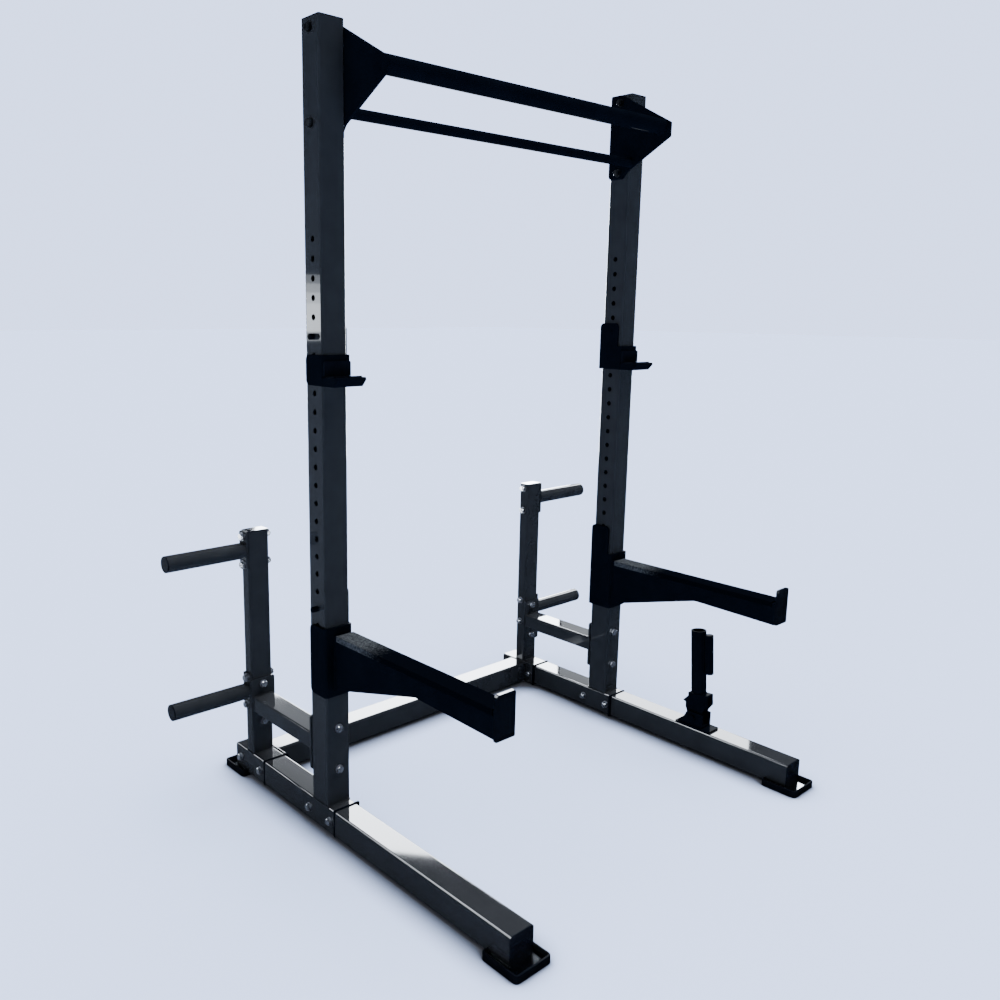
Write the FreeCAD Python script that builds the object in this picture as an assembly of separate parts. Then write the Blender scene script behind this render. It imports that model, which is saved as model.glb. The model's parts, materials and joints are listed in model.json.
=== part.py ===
"""Half rack for barbell training: two drilled uprights on a three-piece base, pull-up bars,
plate storage posts, pin-in-hole bar cups and safety arms, and a swivelling bar socket.

Millimetres. +X is the user's right, -Y is the front where the user stands, +Z is up.
The origin is on the floor under the middle of the whole rack.
"""
import FreeCAD
import Part
import math
import os

V = FreeCAD.Vector

# ---- driving dimensions -------------------------------------------------------------
TUBE = 75.0                 # square tube of the uprights, the base and the crossmember
WALL = 3.0                  # wall of every frame tube
CORNER = 6.0                # outside corner radius of every frame tube
FIT_GAP = 0.3               # gap round an inner sleeve or a plug

COLUMN_X = 598.0            # middle of each side frame, either side of the centre plane
BASE_BOTTOM = 8.0           # underside of the base tubes
BASE_END_Y = 596.0          # cut ends of the base tubes, front and rear
FRONT_SEAM_Y = 66.0         # joint between the front foot and the middle tube
REAR_SEAM_Y = 432.0         # joint between the middle tube and the rear stub
CAP_HEAD = 3.0              # how far an end cap stands out of its tube
CAP_PLUG = 12.0             # how far an end cap reaches into its tube
POST_CAP_PLUG = 8.0         # the same for the caps of the storage posts

UPRIGHT_Y = 132.5           # middle of the upright, front to back
RACK_TOP = 2108.0           # top of the upright's cap
HOLE_RADIUS = 8.0           # accessory hole
HOLE_PITCH = 1000.0 / 21
HOLE_COUNT = 22
TOP_HOLE_Z = 1596.0

POST_Y = 515.5              # middle of the storage post and of the rear crossmember
POST_WIDTH = 70.0
POST_DEPTH = 40.0
POST_TOP = 784.0
PEG_HEIGHTS = {"upper": 724.0, "lower": 284.0}
PEG_RADIUS = 24.0
PEG_END_X = 886.0
PEG_BOLT_OFFSET = 42.5

BRACE_Z = 246.0             # middle of the brace between upright and storage post
BRACE_WIDTH = 70.0
BRACE_HEIGHT = 50.0
BRACE_BOLT_OFFSET = 60.0
FLANGE = 6.0                # bolted flange plates

FOOT_LENGTH = 111.0
FOOT_WIDTH = 115.0
FOOT_OVERHANG = 39.0        # how far a foot reaches past the tube's capped end
FOOT_PLATE = 4.0

GUSSET = 8.0                # thickness of the pull-up bar gussets
GUSSET_BOLT_Z = (1867.0, 2082.0)
THICK_BAR_Y = -28.0
THICK_BAR_Z = 1987.5
THICK_BAR_RADIUS = 23.5
THIN_BAR_Y = 85.0
THIN_BAR_Z = 1893.5
THIN_BAR_RADIUS = 14.0

PIN_RADIUS = HOLE_RADIUS - 0.05
BRACKET = 6.0               # plate of the cup and arm brackets
BRACKET_GAP = 1.0           # gap between a bracket and the upright
CUP_HOLE = 5                # accessory holes counted down from the top one
ARM_HOLE = 20
ARM_END_Y = -517.0

LANDMINE_X = 592.0          # turning axis of the bar socket
LANDMINE_Y = -262.0
LANDMINE_LEAN = 4.2         # degrees the socket leans back as it stands
M12 = {"radius": 6.0, "flats": 18.0, "head": 7.5, "nut": 10.0, "washer": 12.0, "washer_height": 2.5}

# ---- sizes that follow from them ------------------------------------------------------
HALF = TUBE / 2
BASE_MIDDLE = BASE_BOTTOM + HALF
BASE_TOP = BASE_BOTTOM + TUBE
INNER_X = COLUMN_X - HALF
OUTER_X = COLUMN_X + HALF
UPRIGHT_FRONT = UPRIGHT_Y - HALF
UPRIGHT_BACK = UPRIGHT_Y + HALF
POST_FRONT = POST_Y - POST_DEPTH / 2
POST_BACK = POST_Y + POST_DEPTH / 2
CUP_PIN_Z = TOP_HOLE_Z - CUP_HOLE * HOLE_PITCH
ARM_PIN_Z = TOP_HOLE_Z - ARM_HOLE * HOLE_PITCH
ANGLE_TO = {"x": (V(0, 1, 0), 90), "y": (V(1, 0, 0), -90), "z": (V(0, 0, 1), 0)}


# ---- shape helpers --------------------------------------------------------------------
def block(x0, x1, y0, y1, z0, z1):
    """A box between two opposite corners."""
    return Part.makeBox(x1 - x0, y1 - y0, z1 - z0, V(x0, y0, z0))


def fuse(shapes):
    """One solid from touching shapes."""
    joined = shapes[0].multiFuse(shapes[1:]).removeSplitter()
    return joined.Solids[0] if len(joined.Solids) == 1 else joined


def turned(shape, axis):
    """Turn a shape built along +Z so that it runs along the named axis."""
    direction, angle = ANGLE_TO[axis]
    copy = shape.copy()
    copy.rotate(V(0, 0, 0), direction, angle)
    return copy


def moved(shape, x, y, z):
    copy = shape.copy()
    copy.translate(V(x, y, z))
    return copy


def mirrored(shape):
    """The same piece on the other side of the centre plane."""
    return shape.mirror(V(0, 0, 0), V(1, 0, 0))


def outline(points, radii):
    """A closed face in the XY plane through the points, each corner rounded by its radius."""
    count = len(points)
    corners = []
    for i, radius in enumerate(radii):
        here = V(points[i][0], points[i][1], 0)
        before = V(points[i - 1][0], points[i - 1][1], 0)
        after = V(points[(i + 1) % count][0], points[(i + 1) % count][1], 0)
        to_before = (before - here).normalize()
        to_after = (after - here).normalize()
        if radius == 0:
            corners.append((here, None, here))
            continue
        half_angle = to_before.getAngle(to_after) / 2
        setback = radius / math.tan(half_angle)
        bisector = (to_before + to_after).normalize()
        middle = here + bisector * (radius / math.sin(half_angle) - radius)
        corners.append((here + to_before * setback, middle, here + to_after * setback))
    edges = []
    for i in range(count):
        start, middle, end = corners[i]
        if middle is not None:
            edges.append(Part.Arc(start, middle, end).toShape())
        following = corners[(i + 1) % count][0]
        if (following - end).Length > 1e-6:
            edges.append(Part.LineSegment(end, following).toShape())
    return Part.Face(Part.Wire(edges))


def plate_yz(points, radii, x0, x1):
    """A flat plate whose outline is given as (y, z) points, between two X planes."""
    solid = outline(points, radii).extrude(V(0, 0, x1 - x0))
    solid.rotate(V(0, 0, 0), V(1, 1, 1), 120)
    return moved(solid, x0, 0, 0)


def plate_xz(points, radii, y0, y1):
    """A flat plate whose outline is given as (x, z) points, between two Y planes."""
    solid = outline(points, radii).extrude(V(0, 0, y1 - y0))
    solid.rotate(V(0, 0, 0), V(1, 0, 0), 90)
    return moved(solid, 0, y1, 0)


def rounded_bar(width, depth, radius, length):
    """A rounded rectangle pulled up +Z from the origin."""
    x = width / 2
    y = depth / 2
    return outline([(-x, -y), (x, -y), (x, y), (-x, y)], [radius] * 4).extrude(V(0, 0, length))


def tube(width, depth, length, wall=WALL, radius=CORNER):
    """A hollow rectangular tube standing on the origin."""
    inside = rounded_bar(width - 2 * wall, depth - 2 * wall, radius - wall, length)
    return rounded_bar(width, depth, radius, length).cut(inside)


def rod(radius, start, axis, length):
    """A round bar from a start point along an axis."""
    return moved(turned(Part.makeCylinder(radius, length), axis), *start)


def ring(outer, inner, start, axis, length):
    return rod(outer, start, axis, length).cut(rod(inner, start, axis, length))


def hexagon(flats, height):
    """A hexagonal prism standing on the origin, its two top edges eased."""
    radius = flats / math.sqrt(3)
    points = [(radius * math.cos(math.radians(60 * i)), radius * math.sin(math.radians(60 * i)))
              for i in range(6)]
    prism = outline(points, [0] * 6).extrude(V(0, 0, height))
    cone = Part.makeCone(radius + height * 0.9, flats / 2 - height * 0.02, height * 1.0)
    return prism.common(cone)


def plug(width, depth, wall, radius, grip):
    """An end cap built up from z = 0: a flat head with a hollow plug hanging below it."""
    inner_w = width - 2 * wall - 2 * FIT_GAP
    inner_d = depth - 2 * wall - 2 * FIT_GAP
    head = rounded_bar(width, depth, radius, CAP_HEAD)
    top_edges = [e for e in head.Edges if abs(e.BoundBox.ZMin - CAP_HEAD) < 1e-6]
    head = head.makeFillet(1.2, top_edges)
    skirt = tube(inner_w, inner_d, grip, 2.0, max(radius - wall, 2.2))
    return fuse([head, moved(skirt, 0, 0, -grip)])


def bolt(size, length, head_at, toward, side):
    """A hexagon bolt with its two washers and nut, as three shapes.

    head_at is the point on the clamped face under the head's washer, toward the clamping axis,
    side the sense (+1 or -1) in which the shank runs, length the clamped thickness."""
    washer = size["washer_height"]
    shank = length + 2 * washer + size["nut"] + 3.0
    body = fuse([moved(hexagon(size["flats"], size["head"]), 0, 0, washer),
                 moved(Part.makeCylinder(size["radius"], shank), 0, 0, washer - shank)])
    hole = size["radius"] + 0.1
    under_head = ring(size["washer"], hole, (0, 0, 0), "z", washer)
    under_nut = moved(under_head, 0, 0, -length - washer)
    nut = hexagon(size["flats"], size["nut"]).cut(Part.makeCylinder(hole, size["nut"]))
    nut.rotate(V(0, 0, 0), V(1, 0, 0), 180)
    nut = moved(nut, 0, 0, -length - washer)
    shapes = []
    for shape in (body, under_head, under_nut, nut):
        if side > 0:
            shape = shape.copy()
            shape.rotate(V(0, 0, 0), V(1, 0, 0), 180)
        shapes.append(moved(turned(shape, toward), *head_at))
    return shapes


def cut_holes(solid, radius, centres, axis, depth):
    """Cut round holes of one radius right through, each centre being where its axis enters."""
    return solid.cut([rod(radius, centre, axis, depth) for centre in centres])


# ---- base -----------------------------------------------------------------------------
def base_bolt_ys():
    """Bolts that hold the inner sleeves: two in the middle tube, two in the rear stub."""
    return {"middle": (87.0, 187.0), "stub": (REAR_SEAM_Y + 23.0, REAR_SEAM_Y + 138.0)}


def base_tube(y0, y1, bolt_ys):
    """One length of base tube on the left side, drilled for its sleeve bolts."""
    solid = moved(turned(tube(TUBE, TUBE, y1 - y0), "y"), -COLUMN_X, y0, BASE_MIDDLE)
    centres = [(-OUTER_X - 1, y, BASE_MIDDLE) for y in bolt_ys]
    return cut_holes(solid, M12["radius"] + 0.25, centres, "x", TUBE + 2) if centres else solid


def sleeve(y0, y1, bolt_ys):
    """A tube that slides inside two base tubes and is bolted in one of them."""
    size = TUBE - 2 * WALL - 2 * FIT_GAP
    solid = moved(turned(tube(size, size, y1 - y0, 4.0, 5.0), "y"), -COLUMN_X, y0, BASE_MIDDLE)
    centres = [(-OUTER_X - 1, y, BASE_MIDDLE) for y in bolt_ys]
    return cut_holes(solid, M12["radius"] + 0.25, centres, "x", TUBE + 2)


def foot_centres():
    reach = BASE_END_Y + CAP_HEAD + FOOT_OVERHANG - FOOT_LENGTH / 2
    return [(x, y) for x in (-COLUMN_X, COLUMN_X) for y in (-reach, reach)]


def foot_boot():
    """Moulded rubber tray under a foot plate, with a rim all round."""
    rim_top = 20.0
    rim_wall = 5.0
    outer = rounded_bar(FOOT_WIDTH, FOOT_LENGTH, 10.0, rim_top)
    edges = [e for e in outer.Edges if abs(e.BoundBox.ZMin - rim_top) < 1e-6]
    outer = outer.makeFillet(2.0, edges)
    floor = BASE_BOTTOM - FOOT_PLATE
    pocket = rounded_bar(FOOT_WIDTH - 2 * rim_wall, FOOT_LENGTH - 2 * rim_wall, 5.0, rim_top)
    return outer.cut(moved(pocket, 0, 0, floor))


def placed_boots():
    """The four boots, their rims notched where the tubes pass over them."""
    half = HALF + FIT_GAP
    boots = []
    for x, y in foot_centres():
        notches = [block(x - half, x + half, -BASE_END_Y, BASE_END_Y, BASE_BOTTOM, BASE_TOP),
                   block(-INNER_X - 1, INNER_X + 1, 0, POST_Y + half, BASE_BOTTOM, BASE_TOP)]
        boots.append(moved(foot_boot(), x, y, 0).cut(notches))
    return boots


def foot_plate():
    """Steel plate that lies in the boot and carries the tube."""
    plate = rounded_bar(FOOT_WIDTH - 11.0, FOOT_LENGTH - 11.0, 4.5, FOOT_PLATE)
    return moved(plate, 0, 0, BASE_BOTTOM - FOOT_PLATE)


# ---- uprights, posts and braces -------------------------------------------------------
def hole_heights():
    return [TOP_HOLE_Z - i * HOLE_PITCH for i in range(HOLE_COUNT)]


def upright():
    """Left upright, drilled through its sides for accessories, bolts and the gusset."""
    height = RACK_TOP - CAP_HEAD - BASE_TOP
    solid = moved(tube(TUBE, TUBE, height), -COLUMN_X, UPRIGHT_Y, BASE_TOP)
    start = -OUTER_X - 1
    pin_holes = [rod(HOLE_RADIUS, (start, UPRIGHT_Y, z), "x", TUBE + 2) for z in hole_heights()]
    gusset_holes = [rod(M12["radius"] + 0.25, (start, UPRIGHT_Y, z), "x", TUBE + 2)
                    for z in GUSSET_BOLT_Z]
    brace_holes = [rod(M12["radius"] + 0.25, (-COLUMN_X, UPRIGHT_FRONT - 1, BRACE_Z + dz), "y", TUBE + 2)
                   for dz in (-BRACE_BOLT_OFFSET, BRACE_BOLT_OFFSET)]
    return solid.cut(pin_holes + gusset_holes + brace_holes)


def peg_bolt_heights():
    return [z + dz for z in PEG_HEIGHTS.values() for dz in (-PEG_BOLT_OFFSET, PEG_BOLT_OFFSET)]


def storage_post():
    """Left storage post, drilled for the peg flanges and the brace flange."""
    height = POST_TOP - CAP_HEAD - BASE_TOP
    solid = moved(tube(POST_WIDTH, POST_DEPTH, height), -COLUMN_X, POST_Y, BASE_TOP)
    radius = M12["radius"] + 0.25
    start = -COLUMN_X - POST_WIDTH / 2 - 1
    holes = [rod(radius, (start, POST_Y, z), "x", POST_WIDTH + 2) for z in peg_bolt_heights()]
    holes += [rod(radius, (-COLUMN_X, POST_FRONT - 1, BRACE_Z + dz), "y", POST_DEPTH + 2)
              for dz in (-BRACE_BOLT_OFFSET, BRACE_BOLT_OFFSET)]
    return solid.cut(holes)


def brace_tube():
    """Left brace between its two flanges."""
    y0 = UPRIGHT_BACK + FLANGE
    length = POST_FRONT - FLANGE - y0
    return moved(turned(tube(BRACE_WIDTH, BRACE_HEIGHT, length), "y"), -COLUMN_X, y0, BRACE_Z)


def brace_flange(y0):
    """Flange plate at one end of the left brace."""
    half_w = 40.0
    half_h = 80.0
    corners = [(-half_w, -half_h), (half_w, -half_h), (half_w, half_h), (-half_w, half_h)]
    plate = moved(plate_xz(corners, [8.0] * 4, y0, y0 + FLANGE), -COLUMN_X, 0, BRACE_Z)
    centres = [(-COLUMN_X, y0 - 1, BRACE_Z + dz) for dz in (-BRACE_BOLT_OFFSET, BRACE_BOLT_OFFSET)]
    return cut_holes(plate, M12["radius"] + 0.25, centres, "y", FLANGE + 2)


def peg_flange(z):
    """Flange plate of a left peg, against the post's outer side."""
    half_w = POST_DEPTH / 2
    half_h = 58.0
    x1 = -COLUMN_X - POST_WIDTH / 2
    corners = [(POST_Y - half_w, z - half_h), (POST_Y + half_w, z - half_h),
               (POST_Y + half_w, z + half_h), (POST_Y - half_w, z + half_h)]
    plate = plate_yz(corners, [6.0] * 4, x1 - FLANGE, x1)
    centres = [(x1 - FLANGE - 1, POST_Y, z + dz) for dz in (-PEG_BOLT_OFFSET, PEG_BOLT_OFFSET)]
    return cut_holes(plate, M12["radius"] + 0.25, centres, "x", FLANGE + 2)


def peg(z):
    """Left weight peg: a round tube from the flange to just inside its end cap."""
    x1 = -COLUMN_X - POST_WIDTH / 2 - FLANGE
    x0 = -PEG_END_X + CAP_HEAD
    return ring(PEG_RADIUS, PEG_RADIUS - WALL, (x0, POST_Y, z), "x", x1 - x0)


def peg_cap(z):
    """Round cap that closes the left peg's outer end."""
    head = Part.makeCylinder(PEG_RADIUS, CAP_HEAD)
    head = head.makeFillet(1.5, [e for e in head.Edges if abs(e.BoundBox.ZMax) < 1e-6])
    skirt_radius = PEG_RADIUS - WALL - FIT_GAP
    skirt = ring(skirt_radius, skirt_radius - 2.5, (0, 0, CAP_HEAD), "z", CAP_PLUG)
    return moved(turned(fuse([head, skirt]), "x"), -PEG_END_X, POST_Y, z)


def crossmember():
    length = 2 * INNER_X
    return moved(turned(tube(TUBE, TUBE, length), "x"), -INNER_X, POST_Y, BASE_MIDDLE)


# ---- pull-up bars ---------------------------------------------------------------------
def gusset():
    """Left gusset plate: a forward-pointing nose that carries the bars."""
    points = [(UPRIGHT_BACK, 1848.0), (UPRIGHT_BACK, RACK_TOP - 2), (131.0, RACK_TOP - 2),
              (-60.0, 1999.0), (-60.0, 1957.0), (99.0, 1868.0), (114.0, 1848.0)]
    plate = plate_yz(points, [14.0, 4.0, 8.0, 5.0, 5.0, 20.0, 14.0], -INNER_X, -INNER_X + GUSSET)
    centres = [(-INNER_X - 1, UPRIGHT_Y, z) for z in GUSSET_BOLT_Z]
    return cut_holes(plate, M12["radius"] + 0.25, centres, "x", GUSSET + 2)


def pull_up_bar(y, z, radius):
    """Round tube between the gussets."""
    x0 = -INNER_X + GUSSET
    return ring(radius, radius - WALL, (x0, y, z), "x", -2 * x0)


# ---- bar cups and safety arms ---------------------------------------------------------
def bracket(pin_z, low, high, plate_top):
    """Left three-sided bracket that wraps an upright, with a taller inner plate for the pin."""
    half = HALF + BRACKET_GAP
    outer_reach = UPRIGHT_Y + 27.0
    inner_reach = UPRIGHT_BACK + 6.0
    front = UPRIGHT_Y - half - BRACKET
    x_out = -COLUMN_X - half
    x_in = -COLUMN_X + half
    bend = BRACKET + 2.0
    profile = outline([(x_out - BRACKET, front), (x_in + BRACKET, front),
                       (x_in + BRACKET, inner_reach), (x_in, inner_reach),
                       (x_in, front + BRACKET), (x_out, front + BRACKET),
                       (x_out, outer_reach), (x_out - BRACKET, outer_reach)],
                      [bend, bend, 0, 0, 2.0, 2.0, 0, 0])
    wrap = moved(profile.extrude(V(0, 0, high - low)), 0, 0, low)
    corner = 14.0
    side_view = plate_yz([(front - 1, low - 1), (outer_reach, low), (outer_reach, high), (front - 1, high + 1)],
                         [0, corner, corner, 0], x_out - BRACKET - 1, x_out + 1)
    whole_outer = block(x_out - BRACKET - 1, x_out + 1, UPRIGHT_Y - half + 1, outer_reach + 1, low - 1, high + 1)
    wrap = wrap.cut(whole_outer.cut(side_view))
    upper_front = UPRIGHT_FRONT + 9.0
    ear = plate_yz([(upper_front, high - 12), (inner_reach, high - 12), (inner_reach, plate_top),
                    (upper_front, plate_top)], [0, 0, corner, corner], x_in, x_in + BRACKET)
    whole = fuse([wrap, ear])
    return whole.cut(rod(PIN_RADIUS - 2.0, (x_in - 1, UPRIGHT_Y, pin_z), "x", BRACKET + 2))


def bracket_pin(pin_z, stick_out):
    """Left locking pin: through the upright, with a spigot riveted in the bracket's ear."""
    x_in = -COLUMN_X + HALF + BRACKET_GAP
    start = -OUTER_X - stick_out
    shank = rod(PIN_RADIUS, (start, UPRIGHT_Y, pin_z), "x", x_in - start)
    shank = shank.makeChamfer(3.0, [e for e in shank.Edges if abs(e.BoundBox.XMax - start) < 1e-6])
    spigot = rod(PIN_RADIUS - 2.0, (x_in, UPRIGHT_Y, pin_z), "x", BRACKET + 2.0)
    return fuse([shank, spigot])


CUP_LOW = CUP_PIN_Z - 122.0
CUP_HIGH = CUP_PIN_Z - 45.0
ARM_LOW = ARM_PIN_Z - 240.0
ARM_HIGH = ARM_PIN_Z - 47.0
BRACKET_FRONT = UPRIGHT_FRONT - BRACKET_GAP - BRACKET
BRACKET_X = (-COLUMN_X - HALF - BRACKET_GAP - BRACKET, -COLUMN_X + HALF + BRACKET_GAP + BRACKET)


def cup_shelf():
    """Steel tray of the left cup: a floor that rises to a low front lip, and two cheeks."""
    back = BRACKET_FRONT
    tip = back - 64.0
    points = [(back, CUP_LOW), (back, CUP_LOW + 20), (tip + 12, CUP_LOW + 24), (tip, CUP_LOW + 24),
              (tip - 2, CUP_LOW + 18), (tip + 14, CUP_LOW)]
    solid = plate_yz(points, [0, 0, 6.0, 1.5, 2.0, 4.0], *BRACKET_X)
    cheek = 5.0
    pocket = plate_yz([(back + 1, CUP_LOW + 8), (back + 1, CUP_LOW + 40), (tip + 9, CUP_LOW + 40),
                       (tip + 9, CUP_LOW + 12)], [0] * 4, BRACKET_X[0] + cheek, BRACKET_X[1] - cheek)
    return solid.cut(pocket)


def cup_seat():
    """Plastic seat that the bar rests on, dished along Y, sunk in the left cup's tray."""
    back = BRACKET_FRONT
    tip = back - 64.0
    gap = 0.2
    low = CUP_LOW + 8 + gap
    points = [(back, low), (back, low + 15), (tip + 9 + gap, low + 19), (tip + 9 + gap, low + 4)]
    solid = plate_yz(points, [0] * 4, BRACKET_X[0] + 5 + gap, BRACKET_X[1] - 5 - gap)
    dish = rod(60.0, (BRACKET_X[0], back - 24.0, CUP_LOW + 81.5), "x", 100)
    return solid.cut(dish)


def cup_face_pad():
    """Plastic pad on the front of the left bracket, above the seat."""
    half = (BRACKET_X[1] - BRACKET_X[0]) / 2 - 4.0
    corners = [(-half, CUP_LOW + 24), (half, CUP_LOW + 24), (half, CUP_LOW + 62), (-half, CUP_LOW + 62)]
    pad = moved(plate_xz(corners, [1.0, 1.0, 5.0, 5.0], BRACKET_FRONT - 6, BRACKET_FRONT), -COLUMN_X, 0, 0)
    return pad


ARM_TOP = ARM_PIN_Z - 71.0
ARM_X = (-COLUMN_X - 15.0, -COLUMN_X + 37.0)
ARM_PLATE = 4.0
STRIP = 5.0


def arm_profile(inset):
    """Side view of the beam: deep at the bracket, tapering to a slim parallel front."""
    root_low = ARM_LOW + 17.0
    knee = UPRIGHT_FRONT - 340.0
    return [(BRACKET_FRONT, root_low + inset), (BRACKET_FRONT, ARM_TOP - inset),
            (ARM_END_Y, ARM_TOP - inset), (ARM_END_Y, ARM_PIN_Z - 138.0 + inset),
            (knee, ARM_PIN_Z - 130.0 + inset)]


def arm_beam():
    """Left beam: a folded channel, open below, with two sides and a top."""
    solid = plate_yz(arm_profile(0.0), [0, 0, 0, 0, 30.0], *ARM_X)
    low_points = [(y, z - 40 if i in (0, 3, 4) else z) for i, (y, z) in enumerate(arm_profile(ARM_PLATE))]
    hollow = plate_yz(low_points, [0] * 5, ARM_X[0] + ARM_PLATE, ARM_X[1] - ARM_PLATE)
    return solid.cut(hollow)


def arm_strip():
    """Plastic strip that caps the left beam's top and laps its sides."""
    y1 = BRACKET_FRONT - 12.0
    y0 = ARM_END_Y + 10.0
    lap = 12.0
    side = 3.0
    outer = rounded_bar(ARM_X[1] - ARM_X[0] + 2 * side, STRIP + lap, 2.5, y1 - y0)
    middle_x = (ARM_X[0] + ARM_X[1]) / 2
    outer = moved(turned(outer, "y"), middle_x, y0, ARM_TOP + (STRIP - lap) / 2)
    return outer.cut(block(ARM_X[0], ARM_X[1], y0 - 1, y1 + 1, ARM_TOP - lap - 1, ARM_TOP))


def arm_end_plate():
    """Stop plate at the front of the left beam, standing above its top."""
    x0 = ARM_X[0] - 8.0
    x1 = ARM_X[1]
    low = ARM_PIN_Z - 138.0
    high = ARM_PIN_Z - 29.0
    return plate_xz([(x0, low), (x1, low), (x1, high), (x0, high)], [3.0, 3.0, 8.0, 8.0],
                    ARM_END_Y - 8.0, ARM_END_Y)


# ---- swivelling bar socket ------------------------------------------------------------
LANDMINE_PLATE = 6.0
LANDMINE_PLATE_TOP = BASE_TOP + LANDMINE_PLATE
STUD_RADIUS = 8.0
RUNNING_GAP = 0.05
CHANNEL_WALL = 6.0
CHANNEL_INSIDE = 19.0       # half the width inside the channel
CHANNEL_FRONT = 36.0        # how far the channel reaches in front of its turning axis
CHANNEL_BACK = 54.0         # and behind it, where its walls flare down
CHANNEL_TOP = 136.0
PIVOT_Z = 116.0
PIVOT_RADIUS = 6.0
EAR_PLATE = 6.0
EAR_OUTSIDE = CHANNEL_INSIDE - 0.3
BRACKET_TOP = 83.0          # the next sizes are measured up from the pivot
SOCKET_TOP = 294.0
SOCKET_RADIUS = 24.0
SOCKET_BORE = 20.5
SOCKET_SHIFT = -8.0         # the socket stands a little in front of its pivot
SIDE_TUBE_RADIUS = 14.0
SIDE_TUBE_LOW = 154.0
SIDE_TUBE_HIGH = 285.0


def on_swivel(shape):
    """Move a piece built round the pivot to its place on the rack."""
    return moved(shape, LANDMINE_X, LANDMINE_Y, PIVOT_Z)


def leaning(shape):
    """Lean a piece built upright round the pivot back by its resting angle, then place it."""
    copy = shape.copy()
    copy.rotate(V(0, 0, 0), V(1, 0, 0), -LANDMINE_LEAN)
    return on_swivel(copy)


def landmine_base():
    """Plate on top of the right front foot with the upright stud that the channel turns on."""
    x0 = LANDMINE_X - 30.0
    x1 = LANDMINE_X + 30.0
    y0 = LANDMINE_Y - 64.0
    y1 = LANDMINE_Y + 62.0
    corners = [(x0, y0), (x1, y0), (x1, y1), (x0, y1)]
    plate = moved(outline(corners, [3.0] * 4).extrude(V(0, 0, LANDMINE_PLATE)), 0, 0, BASE_TOP)
    stud = rod(STUD_RADIUS, (LANDMINE_X, LANDMINE_Y, BASE_TOP + 1), "z", 18.0)
    return fuse([plate, stud])


def landmine_stud_nut():
    """Thin lock nut that keeps the channel on its stud."""
    nut = hexagon(21.0, 4.5).cut(Part.makeCylinder(STUD_RADIUS, 5.0))
    return moved(nut, LANDMINE_X, LANDMINE_Y, LANDMINE_PLATE_TOP + 0.5 + CHANNEL_WALL + 0.5)


def landmine_channel():
    """Channel, open at the top and both ends, that turns on the stud and holds the pivot bolt."""
    floor_z = LANDMINE_PLATE_TOP + 0.5
    outside = CHANNEL_INSIDE + CHANNEL_WALL
    walls = plate_yz([(-CHANNEL_FRONT, floor_z), (CHANNEL_BACK, floor_z), (CHANNEL_BACK, floor_z + 6),
                      (34.0, floor_z + 22), (21.0, CHANNEL_TOP), (-CHANNEL_FRONT, CHANNEL_TOP)],
                     [3.0, 2.0, 2.0, 6.0, 3.0, 3.0], -outside, outside)
    inside = block(-CHANNEL_INSIDE, CHANNEL_INSIDE, -CHANNEL_FRONT - 1, CHANNEL_BACK + 1,
                   floor_z + CHANNEL_WALL, CHANNEL_TOP + 1)
    solid = moved(walls.cut(inside), LANDMINE_X, LANDMINE_Y, 0)
    solid = solid.cut(rod(STUD_RADIUS + RUNNING_GAP, (LANDMINE_X, LANDMINE_Y, floor_z - 1), "z", CHANNEL_WALL + 2))
    return solid.cut(rod(PIVOT_RADIUS, (LANDMINE_X - outside - 1, LANDMINE_Y, PIVOT_Z), "x", 2 * outside + 2))


def landmine_pivot_bolt():
    """Pivot bolt through the channel's walls, its head on the left."""
    outside = CHANNEL_INSIDE + CHANNEL_WALL
    shank = rod(PIVOT_RADIUS, (-outside, 0, 0), "x", 2 * outside + 13.0)
    head = hexagon(M12["flats"], M12["head"])
    head.rotate(V(0, 0, 0), V(1, 0, 0), 180)
    return on_swivel(fuse([shank, moved(turned(head, "x"), -outside, 0, 0)]))


def landmine_pivot_nut():
    """Lock nut on the right end of the pivot bolt."""
    nut = hexagon(M12["flats"], M12["nut"]).cut(Part.makeCylinder(PIVOT_RADIUS, M12["nut"]))
    return on_swivel(moved(turned(nut, "x"), CHANNEL_INSIDE + CHANNEL_WALL, 0, 0))


def landmine_bracket():
    """Two tapered ears on the pivot bolt, joined by the plate that the socket stands on."""
    points = [(-49.0, BRACKET_TOP), (-49.0, 47.0), (-33.0, 28.0), (-15.0, -15.0), (15.0, -15.0),
              (30.0, 31.0), (30.0, 47.0), (40.0, 51.0), (20.0, 70.0), (20.0, BRACKET_TOP)]
    radii = [3.0, 4.0, 6.0, 13.0, 13.0, 6.0, 2.0, 1.5, 4.0, 3.0]
    solid = plate_yz(points, radii, -EAR_OUTSIDE, EAR_OUTSIDE)
    inside = EAR_OUTSIDE - EAR_PLATE
    solid = solid.cut(block(-inside, inside, -60, 60, -20, BRACKET_TOP - 6))
    hole = rod(PIVOT_RADIUS + RUNNING_GAP, (-EAR_OUTSIDE - 1, 0, 0), "x", 2 * EAR_OUTSIDE + 2)
    return leaning(solid.cut(hole))


def landmine_socket():
    """Main tube that takes the end of the bar, closed at the bottom."""
    outer = rod(SOCKET_RADIUS, (0, SOCKET_SHIFT, BRACKET_TOP), "z", SOCKET_TOP - BRACKET_TOP)
    rim = [e for e in outer.Edges if abs(e.BoundBox.ZMin - SOCKET_TOP) < 1e-6]
    outer = outer.makeFillet(1.5, rim)
    return leaning(outer.cut(rod(SOCKET_BORE, (0, SOCKET_SHIFT, BRACKET_TOP + 8), "z", SOCKET_TOP)))


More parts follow.
